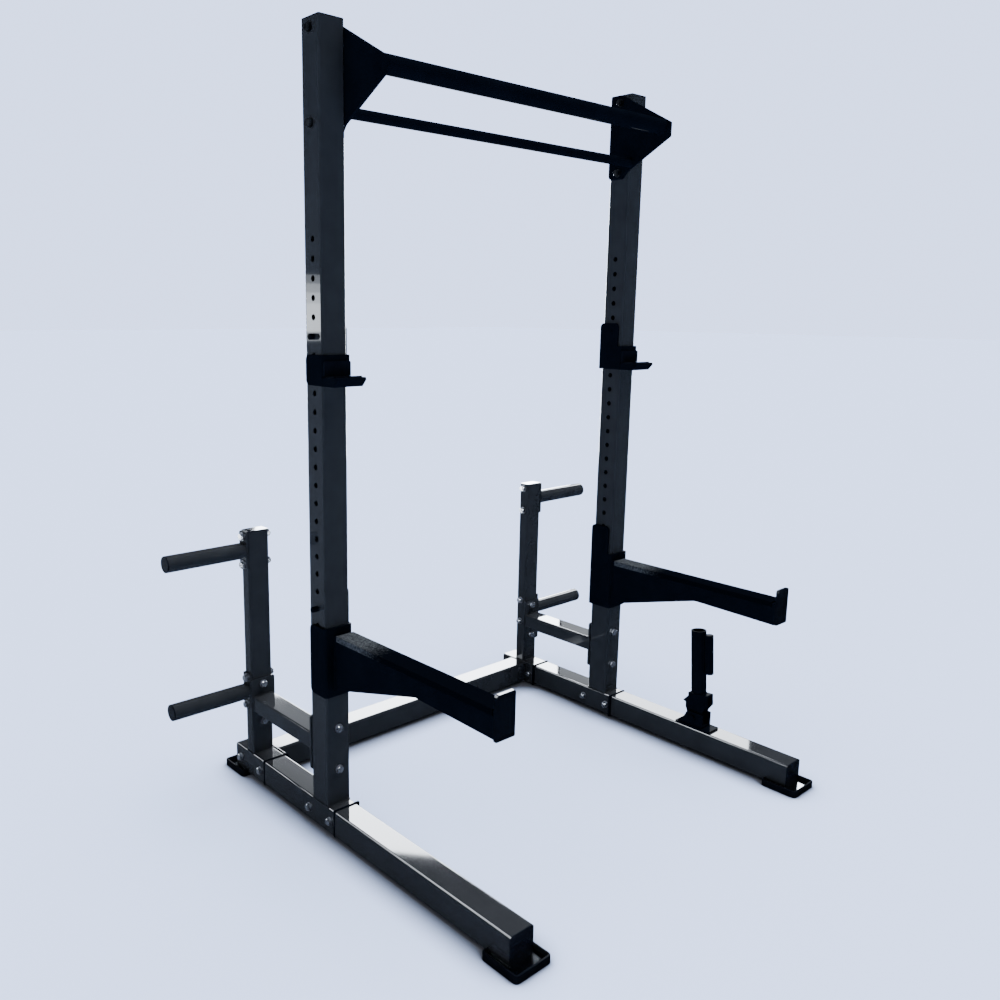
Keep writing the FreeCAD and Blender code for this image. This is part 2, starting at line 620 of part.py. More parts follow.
def landmine_side_tube():
    """Slim round bar welded along the front of the socket."""
    y = SOCKET_SHIFT - SOCKET_RADIUS - SIDE_TUBE_RADIUS
    bar = rod(SIDE_TUBE_RADIUS, (0, y, SIDE_TUBE_LOW), "z", SIDE_TUBE_HIGH - SIDE_TUBE_LOW)
    ends = [e for e in bar.Edges if e.BoundBox.ZLength < 1e-6]
    return leaning(bar.makeChamfer(1.5, ends))


# ---- fasteners ------------------------------------------------------------------------
def both_sides(shapes):
    return shapes + [mirrored(s) for s in shapes]


def base_fasteners():
    """Bolts through the base tubes and their sleeves, heads outside."""
    sets = []
    for y in base_bolt_ys()["middle"] + base_bolt_ys()["stub"]:
        sets.append(bolt(M12, TUBE, (-OUTER_X, y, BASE_MIDDLE), "x", 1))
    return sets


def brace_fasteners():
    """Bolts through uprights and brace flanges, and through posts and brace flanges."""
    sets = []
    for dz in (-BRACE_BOLT_OFFSET, BRACE_BOLT_OFFSET):
        z = BRACE_Z + dz
        sets.append(bolt(M12, TUBE + FLANGE, (-COLUMN_X, UPRIGHT_FRONT, z), "y", 1))
        sets.append(bolt(M12, POST_DEPTH + FLANGE, (-COLUMN_X, POST_FRONT - FLANGE, z), "y", 1))
    return sets


def peg_fasteners():
    """Bolts through the peg flanges and the storage posts, heads outside."""
    x = -COLUMN_X - POST_WIDTH / 2 - FLANGE
    return [bolt(M12, POST_WIDTH + FLANGE, (x, POST_Y, z), "x", 1) for z in peg_bolt_heights()]


def gusset_fasteners():
    """Bolts through the uprights and gussets, heads outside and nuts on the gussets."""
    return [bolt(M12, TUBE + GUSSET, (-OUTER_X, UPRIGHT_Y, z), "x", 1) for z in GUSSET_BOLT_Z]


def split_fasteners(sets):
    """Sort bolt sets into bolts, washers and nuts, on both sides of the rack."""
    bolts = both_sides([s[0] for s in sets])
    washers = both_sides([s[1] for s in sets] + [s[2] for s in sets])
    nuts = both_sides([s[3] for s in sets])
    return bolts, washers, nuts


# ---- all the nodes --------------------------------------------------------------------
def side_pieces():
    """Every piece that is made once for the left side and mirrored for the right."""
    ys = base_bolt_ys()
    pieces = {
        "front_foot_tube": base_tube(-BASE_END_Y, FRONT_SEAM_Y, []),
        "middle_base_tube": base_tube(FRONT_SEAM_Y, REAR_SEAM_Y, ys["middle"]),
        "upright": upright(),
        "storage_post": storage_post(),
        "brace": brace_tube(),
        "gusset": gusset(),
        "cup_bracket": bracket(CUP_PIN_Z, CUP_LOW, CUP_HIGH, CUP_PIN_Z + 30.0),
        "cup_pin": bracket_pin(CUP_PIN_Z, 16.0),
        "cup_shelf": cup_shelf(),
        "cup_seat": cup_seat(),
        "cup_face_pad": cup_face_pad(),
        "arm_bracket": bracket(ARM_PIN_Z, ARM_LOW, ARM_HIGH, ARM_PIN_Z + 50.0),
        "arm_pin": bracket_pin(ARM_PIN_Z, 20.0),
        "arm_beam": arm_beam(),
        "arm_strip": arm_strip(),
        "arm_end_plate": arm_end_plate(),
    }
    return pieces


def grouped_pieces():
    """Nodes that hold several equal solids, one for each place."""
    ys = base_bolt_ys()
    tube_cap = plug(TUBE, TUBE, WALL, CORNER, CAP_PLUG)
    post_cap = plug(POST_WIDTH, POST_DEPTH, WALL, CORNER, POST_CAP_PLUG)
    front_cap = turned(tube_cap, "y")
    front_cap.rotate(V(0, 0, 0), V(0, 0, 1), 180)
    base_caps = [moved(front_cap, -COLUMN_X, -BASE_END_Y, BASE_MIDDLE),
                 moved(turned(tube_cap, "y"), -COLUMN_X, BASE_END_Y, BASE_MIDDLE)]
    groups = {
        "weight_pegs": both_sides([peg(z) for z in PEG_HEIGHTS.values()]),
        "rear_stub_tubes": both_sides([base_tube(REAR_SEAM_Y, BASE_END_Y, ys["stub"])]),
        "base_end_caps": both_sides(base_caps),
        "upright_caps": both_sides([moved(tube_cap, -COLUMN_X, UPRIGHT_Y, RACK_TOP - CAP_HEAD)]),
        "post_caps": both_sides([moved(post_cap, -COLUMN_X, POST_Y, POST_TOP - CAP_HEAD)]),
        "front_sleeves": both_sides([sleeve(FRONT_SEAM_Y - 100, FRONT_SEAM_Y + 150, ys["middle"])]),
        "rear_sleeves": both_sides([sleeve(REAR_SEAM_Y - 100, REAR_SEAM_Y + 151, ys["stub"])]),
        "foot_boots": placed_boots(),
        "foot_plates": [moved(foot_plate(), x, y, 0) for x, y in foot_centres()],
        "brace_flanges": both_sides([brace_flange(UPRIGHT_BACK), brace_flange(POST_FRONT - FLANGE)]),
        "peg_flanges": both_sides([peg_flange(z) for z in PEG_HEIGHTS.values()]),
        "peg_caps": both_sides([peg_cap(z) for z in PEG_HEIGHTS.values()]),
    }
    m12 = split_fasteners(base_fasteners() + brace_fasteners() + peg_fasteners())
    for name, shapes in zip(("frame_bolts", "frame_washers", "frame_nuts"), m12):
        groups[name] = shapes
    bolts, washers, nuts = split_fasteners(gusset_fasteners())
    groups["gusset_fasteners"] = bolts + washers + nuts
    return groups


def single_pieces():
    """Nodes that occur once."""
    singles = {
        "rear_crossmember": crossmember(),
        "thick_pull_up_bar": pull_up_bar(THICK_BAR_Y, THICK_BAR_Z, THICK_BAR_RADIUS),
        "thin_pull_up_bar": pull_up_bar(THIN_BAR_Y, THIN_BAR_Z, THIN_BAR_RADIUS),
        "landmine_base": landmine_base(),
        "landmine_stud_nut": landmine_stud_nut(),
        "landmine_channel": landmine_channel(),
        "landmine_pivot_bolt": landmine_pivot_bolt(),
        "landmine_pivot_nut": landmine_pivot_nut(),
        "landmine_bracket": landmine_bracket(),
        "landmine_socket": landmine_socket(),
        "landmine_side_tube": landmine_side_tube(),
    }
    return singles


def main():
    os.makedirs("parts", exist_ok=True)
    nodes = dict(single_pieces())
    for name, solid in side_pieces().items():
        nodes[name + "_left"] = solid
        nodes[name + "_right"] = mirrored(solid)
    for name, solids in grouped_pieces().items():
        nodes[name] = Part.makeCompound(solids)
    for name, shape in nodes.items():
        shape.exportStep("parts/" + name + ".step")
        print(name, len(shape.Solids), round(shape.Volume), shape.isValid())
    print(len(nodes), "nodes")


main()
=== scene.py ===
"""Looks for the half rack: powder-coated steel, zinc-plated fasteners, plastic and rubber.

Everything is in metres in the row's frame: +X right, -Y front, +Z up, floor at z = 0.
"""
import json
import math

import bmesh
import bpy
from mathutils import Matrix, Vector


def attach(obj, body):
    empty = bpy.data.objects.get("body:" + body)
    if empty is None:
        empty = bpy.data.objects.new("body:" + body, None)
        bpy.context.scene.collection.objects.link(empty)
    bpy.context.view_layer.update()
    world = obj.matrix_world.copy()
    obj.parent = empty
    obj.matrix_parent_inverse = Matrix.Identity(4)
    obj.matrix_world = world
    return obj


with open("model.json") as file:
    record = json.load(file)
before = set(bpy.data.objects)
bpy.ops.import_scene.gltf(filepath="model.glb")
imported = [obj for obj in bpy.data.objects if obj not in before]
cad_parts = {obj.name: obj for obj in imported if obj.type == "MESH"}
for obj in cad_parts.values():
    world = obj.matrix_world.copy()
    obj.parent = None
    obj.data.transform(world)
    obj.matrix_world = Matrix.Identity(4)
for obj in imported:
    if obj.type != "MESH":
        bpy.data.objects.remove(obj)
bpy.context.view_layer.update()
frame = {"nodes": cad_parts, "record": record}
nodes = frame["nodes"]
bodies = frame["record"]["behaviour"]["bodies"]
scene = bpy.context.scene


# ---- materials ------------------------------------------------------------------------
# Each finish is a dark and a light colour that noise mixes.
GRAPHITE = ((0.0175, 0.0185, 0.0185), (0.0215, 0.0228, 0.0228))
BLACK = ((0.0012, 0.0020, 0.0034), (0.0020, 0.0030, 0.0048))
PLASTIC = ((0.002, 0.0028, 0.0045), (0.004, 0.005, 0.0075))
RUBBER = ((0.0015, 0.002, 0.0035), (0.003, 0.0038, 0.0055))
# The arm strip's painted highlight: its dark and grey colours, the ramp's edge, and the Y where it
# starts and where it is full.
PAINTED_SHEEN_COLORS = ((0.0009, 0.0014, 0.0024), (0.055, 0.059, 0.057))
PAINTED_SHEEN_EDGE = (0.33, 0.62)
PAINTED_SHEEN_FROM_Y = -0.24
PAINTED_SHEEN_FULL_Y = -0.02
COAT_ROUGHNESS = 0.04
PLASTIC_COAT_ROUGHNESS = 0.08
PEEL_SHARE = 0.25
GRAIN_SCALE = 900.0
GRAIN_DEPTH = 0.0003


def new_material(name, color, roughness, metallic=0.0):
    """A node material with a Principled shader; returns the material, its tree and shader."""
    mat = bpy.data.materials.new(name)
    mat.use_nodes = True
    tree = mat.node_tree
    shader = tree.nodes["Principled BSDF"]
    shader.inputs["Base Color"].default_value = (*color, 1)
    shader.inputs["Roughness"].default_value = roughness
    shader.inputs["Metallic"].default_value = metallic
    return mat, tree, shader


def noise(tree, scale, detail, roughness=0.55):
    """Noise in object coordinates, which are the row's own metres."""
    coords = tree.nodes.new("ShaderNodeTexCoord")
    node = tree.nodes.new("ShaderNodeTexNoise")
    node.inputs["Scale"].default_value = scale
    node.inputs["Detail"].default_value = detail
    node.inputs["Roughness"].default_value = roughness
    tree.links.new(coords.outputs["Object"], node.inputs["Vector"])
    return node


def ramp(tree, source, low, high, start=0.3, end=0.7):
    """A two-stop colour ramp driven by a factor output."""
    node = tree.nodes.new("ShaderNodeValToRGB")
    node.color_ramp.elements[0].position = start
    node.color_ramp.elements[1].position = end
    node.color_ramp.elements[0].color = (*low, 1)
    node.color_ramp.elements[1].color = (*high, 1)
    tree.links.new(source, node.inputs["Fac"])
    return node


def map_range(tree, source, low, high):
    """A 0 to 1 output stretched to run from low to high."""
    node = tree.nodes.new("ShaderNodeMapRange")
    node.inputs["To Min"].default_value = low
    node.inputs["To Max"].default_value = high
    tree.links.new(source, node.inputs["Value"])
    return node


def bump(tree, shader, height, strength, distance):
    """Relief from a height output; distance is its depth in metres."""
    node = tree.nodes.new("ShaderNodeBump")
    node.inputs["Strength"].default_value = strength
    node.inputs["Distance"].default_value = distance
    tree.links.new(height, node.inputs["Height"])
    tree.links.new(node.outputs["Normal"], shader.inputs["Normal"])


def powder_coat(name, low, high, rough_low, rough_high, specular, coat, orange_peel):
    """Powder coat: slight mottling of the colour, orange-peel bump and a clear gloss."""
    mat, tree, shader = new_material(name, high, rough_high)
    mottle = noise(tree, scale=14.0, detail=4.0)
    colors = ramp(tree, mottle.outputs["Fac"], low, high)
    tree.links.new(colors.outputs["Color"], shader.inputs["Base Color"])
    patches = noise(tree, scale=6.0, detail=5.0)
    rough = map_range(tree, patches.outputs["Fac"], rough_low, rough_high)
    tree.links.new(rough.outputs["Result"], shader.inputs["Roughness"])
    shader.inputs["Specular IOR Level"].default_value = specular
    shader.inputs["Coat Weight"].default_value = coat
    shader.inputs["Coat Roughness"].default_value = COAT_ROUGHNESS
    waves = noise(tree, scale=130.0, detail=1.0)
    peel = noise(tree, scale=420.0, detail=2.0)
    height = tree.nodes.new("ShaderNodeMath")
    height.operation = "MULTIPLY_ADD"
    height.inputs[1].default_value = PEEL_SHARE
    tree.links.new(peel.outputs["Fac"], height.inputs[0])
    tree.links.new(waves.outputs["Fac"], height.inputs[2])
    bump(tree, shader, height.outputs["Value"], orange_peel, distance=0.0004)
    return mat


def plastic(name, low, high, roughness, specular, coat, grain):
    """Moulded plastic or rubber with a fine grain."""
    mat, tree, shader = new_material(name, high, roughness)
    shader.inputs["Specular IOR Level"].default_value = specular
    shader.inputs["Coat Weight"].default_value = coat
    shader.inputs["Coat Roughness"].default_value = PLASTIC_COAT_ROUGHNESS
    tint = noise(tree, scale=25.0, detail=4.0)
    colors = ramp(tree, tint.outputs["Fac"], low, high)
    tree.links.new(colors.outputs["Color"], shader.inputs["Base Color"])
    texture = noise(tree, GRAIN_SCALE, detail=2.0)
    bump(tree, shader, texture.outputs["Fac"], grain, GRAIN_DEPTH)
    return mat


def zinc(name, low, high, rough_low, rough_high, metallic=1.0):
    """Zinc plate: cloudy brightness and fine scratches."""
    mat, tree, shader = new_material(name, high, rough_high, metallic)
    cloud = noise(tree, scale=60.0, detail=4.0)
    colors = ramp(tree, cloud.outputs["Fac"], low, high)
    tree.links.new(colors.outputs["Color"], shader.inputs["Base Color"])
    rough = map_range(tree, cloud.outputs["Fac"], rough_low, rough_high)
    tree.links.new(rough.outputs["Result"], shader.inputs["Roughness"])
    scratches = noise(tree, scale=1500.0, detail=1.0)
    bump(tree, shader, scratches.outputs["Fac"], strength=0.1, distance=0.0002)
    return mat


def strip_plastic():
    """Black plastic whose top has a grainy grey painted highlight near the bracket."""
    mat, tree, shader = new_material("strip_plastic", (0.0012, 0.0018, 0.003), roughness=0.6)
    shader.inputs["Specular IOR Level"].default_value = 0.0
    coords = tree.nodes.new("ShaderNodeTexCoord")
    split = tree.nodes.new("ShaderNodeSeparateXYZ")
    tree.links.new(coords.outputs["Object"], split.inputs["Vector"])
    along = tree.nodes.new("ShaderNodeMapRange")
    along.inputs["From Min"].default_value = PAINTED_SHEEN_FROM_Y
    along.inputs["From Max"].default_value = PAINTED_SHEEN_FULL_Y
    tree.links.new(split.outputs["Y"], along.inputs["Value"])
    grain = noise(tree, scale=170.0, detail=4.0, roughness=0.85)
    # Painted highlight: grainy grey colour on the strip's top, full near the bracket and fading
    # away from it.
    painted_sheen = tree.nodes.new("ShaderNodeMath")
    painted_sheen.operation = "MULTIPLY"
    tree.links.new(along.outputs["Result"], painted_sheen.inputs[0])
    tree.links.new(grain.outputs["Fac"], painted_sheen.inputs[1])
    colors = ramp(tree, painted_sheen.outputs["Value"], *PAINTED_SHEEN_COLORS, *PAINTED_SHEEN_EDGE)
    tree.links.new(colors.outputs["Color"], shader.inputs["Base Color"])
    texture = noise(tree, GRAIN_SCALE, detail=2.0)
    bump(tree, shader, texture.outputs["Fac"], strength=0.5, distance=GRAIN_DEPTH)
    return mat


def black_powder(name, coat, orange_peel):
    """The black powder coat, with more or less clear gloss on it."""
    return powder_coat(name, *BLACK, rough_low=0.6, rough_high=0.7, specular=0.0, coat=coat,
                       orange_peel=orange_peel)


MATERIALS = {
    "graphite_coat": powder_coat("graphite_coat", *GRAPHITE, rough_low=0.65, rough_high=0.8,
                                 specular=0.0, coat=1.0, orange_peel=0.03),
    "black_coat": black_powder("black_coat", coat=0.03, orange_peel=0.3),
    "black_plastic": plastic("black_plastic", *PLASTIC, roughness=0.7, specular=0.0, coat=0.0,
                             grain=0.2),
    "black_rubber": plastic("black_rubber", *RUBBER, roughness=0.7, specular=0.05, coat=0.0,
                            grain=0.3),
    "zinc_steel": zinc("zinc_steel", (0.42, 0.44, 0.47), (0.78, 0.8, 0.83),
                       rough_low=0.14, rough_high=0.26, metallic=0.91),
}
GLOSSY_BLACK = black_powder("glossy_black_coat", coat=0.8, orange_peel=0.2)
GLOSSY_PLASTIC = plastic("glossy_black_plastic", *PLASTIC, roughness=0.6, specular=0.0, coat=1.0,
                         grain=0.1)
STRIP_PLASTIC = strip_plastic()
PLATE_ZINC = zinc("plate_zinc", (0.42, 0.44, 0.47), (0.66, 0.68, 0.71),
                  rough_low=0.07, rough_high=0.11)
DULL_ZINC = zinc("dull_zinc", (0.10, 0.11, 0.13), (0.24, 0.25, 0.28),
                 rough_low=0.35, rough_high=0.5)
GUSSET_ZINC = zinc("gusset_zinc", (0.10, 0.11, 0.13), (0.5, 0.52, 0.55),
                   rough_low=0.3, rough_high=0.5)
FLAT_BLACK = black_powder("flat_black_coat", coat=0.0, orange_peel=0.3)
FINISH = {
    "base_end_caps": GLOSSY_PLASTIC, "post_caps": GLOSSY_PLASTIC,
    "upright_caps": GLOSSY_PLASTIC, "peg_caps": GLOSSY_PLASTIC,
    "frame_washers": DULL_ZINC, "gusset_fasteners": GUSSET_ZINC, "foot_plates": PLATE_ZINC,
    "arm_end_plate_left": GLOSSY_BLACK, "arm_end_plate_right": GLOSSY_BLACK,
    "arm_strip_left": STRIP_PLASTIC, "arm_strip_right": STRIP_PLASTIC,
    "cup_bracket_left": FLAT_BLACK, "cup_bracket_right": FLAT_BLACK,
}
slot_of = {s["node"]: s["material_slot"] for s in frame["record"]["subparts"]}
for name, obj in nodes.items():
    obj.data.materials.clear()
    obj.data.materials.append(FINISH.get(name, MATERIALS[slot_of[name]]))


# ---- pieces added to the CAD nodes -----------------------------------------------------
# Where the CAD parts stand that these pieces meet.
SIDES = {"left": -1, "right": 1}
TUBE = 0.075
TUBE_CORNER = 0.006
BASE_BOTTOM = 0.008
BASE_TOP = BASE_BOTTOM + TUBE
COLUMN_X = 0.598
INNER_X = COLUMN_X - TUBE / 2
OUTER_X = COLUMN_X + TUBE / 2
UPRIGHT_Y = 0.1325
POST_Y = 0.5155
BRACE_Z = 0.246
SEAMS = {"front": 0.066, "rear": 0.432}
PEG_ZS = (0.724, 0.284)
PULL_UP_BARS = ((-0.028, 1.9875, 0.0237), (0.085, 1.8935, 0.0142))  # y, z, bead's ring radius
SOCKET_AT = (0.592, -0.262, 0.116)
SOCKET_LEAN = -4.2

CORNER_STEPS = 6
PLATE_BEVEL = 0.0006
FLANGE_CORNER = 0.002
FLANGE_PROUD = 0.0026
FLANGE_BOTTOM = BASE_BOTTOM - 0.001
SEAM_HALF = 0.003
SEAM_INNER_LIP = 0.009
SEAM_OUTER_LIP = 0.0008
CROSS_FLANGE_Y = (SEAMS["rear"] + 0.002, 0.594)
CROSS_FLANGE_THICKNESS = 0.0032

BEAD_SIDES = 8
BEAD_SPACING = 0.0011
BEAD_TAPER = 0.35
FRAME_BEAD = 0.0022
UPRIGHT_BEAD = 0.0024
ARM_BEAD = 0.0025
SOCKET_BEAD = 0.002
WELD_CORNER = 0.0062
FOOT_WELD_Z = BASE_TOP + 0.0003
UPRIGHT_WELD = (0.0377, 0.0377)
POST_WELD = (0.0352, 0.0202)
BRACE_WELD = (0.0352, 0.0252)
BRACE_WELD_YS = (0.1762, 0.4893)
PEG_WELD_X = 0.6391
PEG_WELD_RADIUS = 0.0242
BAR_WELD_X = 0.5524
ARM_WELD_XS = (0.6132, 0.5608)
ARM_WELD_Y = 0.0878
ARM_WELD_Z = (0.42, 0.567)
SOCKET_WELD_RADIUS = 0.0242
SOCKET_WELD_AT = (-0.008, 0.0832)
SIDE_TUBE_WELD_XS = (-0.0065, 0.0065)
SIDE_TUBE_WELD_Y = -0.0312
SIDE_TUBE_WELD_Z = (0.158, 0.281)


def new_piece(name, verts, faces, body, slot):
    """A smooth-shaded mesh object that rides on a body and wears the material of the given record
    slot.
    """
    mesh = bpy.data.meshes.new(name)
    mesh.from_pydata([tuple(v) for v in verts], [], faces)
    work = bmesh.new()
    work.from_mesh(mesh)
    bmesh.ops.recalc_face_normals(work, faces=work.faces)
    work.to_mesh(mesh)
    work.free()
    for polygon in mesh.polygons:
        polygon.use_smooth = True
    mesh.materials.append(MATERIALS[slot])
    obj = bpy.data.objects.new(name, mesh)
    scene.collection.objects.link(obj)
    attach(obj, body)
    return obj


def rounded_loop(u0, u1, v0, v1, radius):
    """Points round a rectangle with rounded corners, the same number for every rectangle."""
    points = []
    corners = [(u1 - radius, v1 - radius, 0), (u0 + radius, v1 - radius, 90),
               (u0 + radius, v0 + radius, 180), (u1 - radius, v0 + radius, 270)]
    for u, v, start in corners:
        for step in range(CORNER_STEPS + 1):
            angle = math.radians(start + 90 * step / CORNER_STEPS)
            points.append((u + radius * math.cos(angle), v + radius * math.sin(angle)))
    return points


def holed_plate(outer, inner, w0, w1, place):
    """Vertices and faces of a plate with one hole; place maps (u, v, w) to a point in space."""
    count = len(outer)
    middle_u = sum(p[0] for p in outer) / count
    middle_v = sum(p[1] for p in outer) / count
    rings = []
    for loop, inset, w in ((inner, 0, w0), (outer, PLATE_BEVEL, w0),
                           (outer, 0, w0 + PLATE_BEVEL), (outer, 0, w1 - PLATE_BEVEL),
                           (outer, PLATE_BEVEL, w1), (inner, 0, w1)):
        rings.append([place(u - math.copysign(inset, u - middle_u),
                            v - math.copysign(inset, v - middle_v), w) for u, v in loop])
    verts = [p for ring in rings for p in ring]
    faces = []
    for r in range(len(rings)):
        a = r * count
        b = (r + 1) % len(rings) * count
        for i in range(count):
            j = (i + 1) % count
            faces.append((a + i, a + j, b + j, b + i))
    return verts, faces


def add_flanges():
    """Thin flange plates clamped in the joints of the base tubes, standing a little proud."""
    top = BASE_TOP + FLANGE_PROUD
    tube_loop = rounded_loop(INNER_X, OUTER_X, BASE_BOTTOM, BASE_TOP, TUBE_CORNER)
    seam_loop = rounded_loop(INNER_X - SEAM_INNER_LIP, OUTER_X + SEAM_OUTER_LIP, FLANGE_BOTTOM,
                             top, FLANGE_CORNER)
    cross_tube = rounded_loop(POST_Y - TUBE / 2, POST_Y + TUBE / 2, BASE_BOTTOM, BASE_TOP,
                              TUBE_CORNER)
    cross_loop = rounded_loop(*CROSS_FLANGE_Y, FLANGE_BOTTOM, top, FLANGE_CORNER)
    for side, s in SIDES.items():
        for end, y in SEAMS.items():
            verts, faces = holed_plate(seam_loop, tube_loop, y - SEAM_HALF, y + SEAM_HALF,
                                       lambda u, v, w: (s * u, w, v))
            new_piece(f"seam_flange_{end}_{side}", verts, faces, "frame", "black_coat")
        verts, faces = holed_plate(cross_loop, cross_tube, INNER_X - CROSS_FLANGE_THICKNESS,
                                   INNER_X, lambda u, v, w: (s * w, u, v))
        new_piece(f"crossmember_flange_{side}", verts, faces, "frame", "graphite_coat")


def resample(points, closed, spacing):
    """Points evenly spaced along a polyline."""
    points = [Vector(p) for p in points]
    if closed:
        points.append(points[0])
    lengths = [0.0]
    for a, b in zip(points, points[1:]):
        lengths.append(lengths[-1] + (b - a).length)
    count = max(4, round(lengths[-1] / spacing))
    result = []
    segment = 0
    for i in range(count if closed else count + 1):
        at = lengths[-1] * i / count
        while segment < len(points) - 2 and lengths[segment + 1] < at:
            segment += 1
        span = lengths[segment + 1] - lengths[segment]
        share = (at - lengths[segment]) / span if span else 0.0
        result.append(points[segment].lerp(points[segment + 1], share))
    return result


def bead(points, closed, radius, verts, faces):
    """Append one rippled weld bead along a path to a mesh that is being collected."""
    path = resample(points, closed, BEAD_SPACING)
    count = len(path)
    first = len(verts)
    for i, p in enumerate(path):
        before = path[i - 1] if closed or i else p
        after = path[(i + 1) % count] if closed or i < count - 1 else p
        along = (after - before).normalized()
        across = along.orthogonal().normalized()
        up = along.cross(across)
        ripple = 1 + 0.16 * math.sin(i * 1.35) + 0.05 * math.sin(i * 0.21)
        end = BEAD_TAPER if not closed and i in (0, count - 1) else 1.0
        for k in range(BEAD_SIDES):
            turn = 2 * math.pi * k / BEAD_SIDES
            outward = across * math.cos(turn) + up * math.sin(turn)
            verts.append(p + outward * radius * ripple * end)
    for i in range(count if closed else count - 1):
        a = first + i * BEAD_SIDES
        b = first + (i + 1) % count * BEAD_SIDES
        for k in range(BEAD_SIDES):
            m = (k + 1) % BEAD_SIDES
            faces.append((a + k, a + m, b + m, b + k))
    if not closed:
        faces.append(tuple(first + k for k in range(BEAD_SIDES)))
        faces.append(tuple(first + (count - 1) * BEAD_SIDES + k for k in range(BEAD_SIDES)))


def circle(radius, place, steps=48):
    """A closed ring of points; place maps the plane (u, v) to a point in space."""
    turns = [2 * math.pi * i / steps for i in range(steps)]
    return [place(radius * math.cos(turn), radius * math.sin(turn)) for turn in turns]


def weld_loop(u, v, half):
    """The path of a bead round a tube centred on (u, v)."""
    return rounded_loop(u - half[0], u + half[0], v - half[1], v + half[1], WELD_CORNER)


def add_frame_welds():
    """Beads where uprights, posts, braces and pegs meet what they stand on."""
    for side, s in SIDES.items():
        verts, faces = [], []
        x = s * COLUMN_X
        for y, half, radius in ((UPRIGHT_Y, UPRIGHT_WELD, UPRIGHT_BEAD),
                                (POST_Y, POST_WELD, FRAME_BEAD)):
            path = [(u, v, FOOT_WELD_Z) for u, v in weld_loop(x, y, half)]
            bead(path, True, radius, verts, faces)
        for y in BRACE_WELD_YS:
            path = [(u, y, v) for u, v in weld_loop(x, BRACE_Z, BRACE_WELD)]
            bead(path, True, FRAME_BEAD, verts, faces)
        for z in PEG_ZS:
            ring = circle(PEG_WELD_RADIUS, lambda u, v: (s * PEG_WELD_X, POST_Y + u, z + v))
            bead(ring, True, FRAME_BEAD, verts, faces)
        new_piece(f"frame_welds_{side}", verts, faces, "frame", "graphite_coat")


def add_black_welds():
    """Beads on the pull-up bars, the safety arms and the bar socket."""
    for side, s in SIDES.items():
        verts, faces = [], []
        for y, z, radius in PULL_UP_BARS:
            ring = circle(radius, lambda u, v: (s * BAR_WELD_X, y + u, z + v))
            bead(ring, True, FRAME_BEAD, verts, faces)
        new_piece(f"pull_up_bar_welds_{side}", verts, faces, "frame", "black_coat")
        verts, faces = [], []
        for x in ARM_WELD_XS:
            path = [(s * x, ARM_WELD_Y, z) for z in ARM_WELD_Z]
            bead(path, False, ARM_BEAD, verts, faces)
        new_piece(f"arm_welds_{side}", verts, faces, f"arm_{side}", "black_coat")
    lean = Matrix.Translation(SOCKET_AT) @ Matrix.Rotation(math.radians(SOCKET_LEAN), 4, "X")
    ring_y, ring_z = SOCKET_WELD_AT
    verts, faces = [], []
    ring = circle(SOCKET_WELD_RADIUS, lambda u, v: lean @ Vector((u, ring_y + v, ring_z)))
    bead(ring, True, SOCKET_BEAD, verts, faces)
    for x in SIDE_TUBE_WELD_XS:
        path = [lean @ Vector((x, SIDE_TUBE_WELD_Y, z)) for z in SIDE_TUBE_WELD_Z]
        bead(path, False, SOCKET_BEAD, verts, faces)
    new_piece("landmine_welds", verts, faces, "landmine_tilt", "black_coat")


add_flanges()
add_frame_welds()
add_black_welds()


# ---- floor, light and camera -----------------------------------------------------------
# The picture's lights are linked to named parts, so that each part meets the reflections and
# shadows the photo shows on it; it isn't one consistent studio.
BACKDROP = (1.60, 1.965, 3.01)
ROOM = (0.02, 0.024, 0.03)
WALL_TOWARD = (-0.45, 0.87, -0.15)
WALL_LIGHT = (0.17, 0.2, 0.25)
WALL_EDGE = (0.93, 0.985)
LIGHT_COLOR = (0.95, 1.0, 1.2)
PANEL_COLOR = (0.92, 0.98, 1.06)
FLOOR_SIZE = 60.0
FLOOR_COLOR = (0.60, 0.715, 0.93)
# The floor's painted contact shadow: its dark colour, its reach and its ramp's edge.
FLOOR_SHADE = (0.055, 0.056, 0.058)
CONTACT_DISTANCE = 0.09
CONTACT_EDGE = (0.5, 0.985)

LOW_TUBES = ("rear_crossmember", "front_foot_tube_left", "front_foot_tube_right",
             "middle_base_tube_left", "middle_base_tube_right", "rear_stub_tubes",
             "base_end_caps", "post_caps", "arm_end_plate_left", "arm_end_plate_right")
ARM_ENDS = ("arm_end_plate_left", "arm_end_plate_right")
FASTENERS = ("frame_bolts", "frame_washers", "frame_nuts", "foot_plates")

# Soft boxes: name, the two plan points they stand between, bottom, top and radiance.
BACK_BOXES = (
    ("softbox_back_low", ((1.065, 3.395), (1.427, 2.963)), 0.5, 1.72, 30.0),
    ("softbox_back_dim", ((1.065, 3.395), (1.427, 2.963)), 1.74, 2.35, 1.1),
    ("softbox_back", ((1.427, 2.963), (2.36, 1.85)), 0.5, 2.43, 36.0),
    ("softbox_gap", ((2.37, 1.838), (2.578, 1.59)), 0.5, 2.43, 1.5),
    ("softbox_back_right", ((2.588, 1.578), (3.14, 0.92)), 0.5, 2.43, 17.0),
)
LEFT_CORNERS = ((-2.42, 2.62), (-2.18, 2.62))
LEFT_FACES = (-0.6, 0, 1.4)
LEFT_BANDS = ((1.25, 1.30, 4.0), (1.30, 1.46, 11.0), (1.46, 1.52, 8.0), (1.52, 1.57, 5.0),
              (1.57, 1.62, 2.2))  # bottom, top and radiance
STRIPS = (
    ("strip_left", ((-2.7, 0.9), (-1.4, 3.0)), 1.2, 2.6, 16.0, LOW_TUBES),
    ("strip_above", ((-1.7, 1.3), (-0.3, 2.3)), 2.2, 4.0, 22.0, LOW_TUBES),
    ("strip_front", ((1.0, -2.8), (2.6, -1.2)), 0.7, 2.0, 60.0, ARM_ENDS),
)
